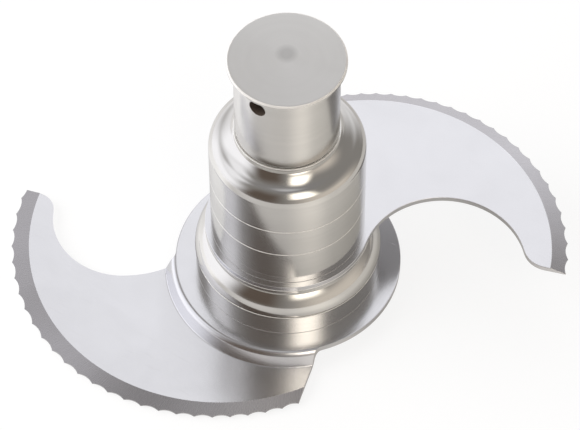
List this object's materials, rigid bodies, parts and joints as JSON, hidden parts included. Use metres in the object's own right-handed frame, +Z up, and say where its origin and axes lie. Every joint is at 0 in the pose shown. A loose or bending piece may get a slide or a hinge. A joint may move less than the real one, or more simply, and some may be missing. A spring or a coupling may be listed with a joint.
{
  "type": "food processor blade",
  "caption": "Stainless cutter for a bowl food processor: scalloped sickle blades at two levels, clamped with collars on a hollow hub by a screwed knob.",
  "frame": {"origin": "on the hub's axis, in the flat underside of the hub's flange, on which the cutter stands", "axes": "+Z up along the hub's axis towards the lock knob; -X towards the middle of the lower blade's sickle; +Y away from the side on which the lower blade's heel lies"},
  "size_m": [0.2713, 0.1653, 0.1677],
  "materials": {
    "stainless_satin": "satin, turned",
    "stainless_turned": "fine turned, brushed round the axis",
    "stainless_polished": "polished after turning",
    "blade_steel": "fine satin with a ground edge",
    "hardened_steel": "ground",
    "seal_rubber": "matt"
  },
  "bodies": {
    "root": {"blade_carrier": "stainless_satin", "clamp_stud": "stainless_satin", "drive_sleeve": "hardened_steel", "front_sleeve_pin": "hardened_steel", "rear_sleeve_pin": "hardened_steel", "left_key": "hardened_steel", "right_key": "hardened_steel", "flange_seal": "seal_rubber", "lower_blade": "blade_steel", "lower_collar": "stainless_turned", "upper_blade": "blade_steel", "lower_spacer_ring": "stainless_turned", "upper_spacer_ring": "stainless_turned", "shoulder_collar": "stainless_polished", "knob_seal": "seal_rubber", "lock_knob": "stainless_turned"}
  },
  "joints": []
}
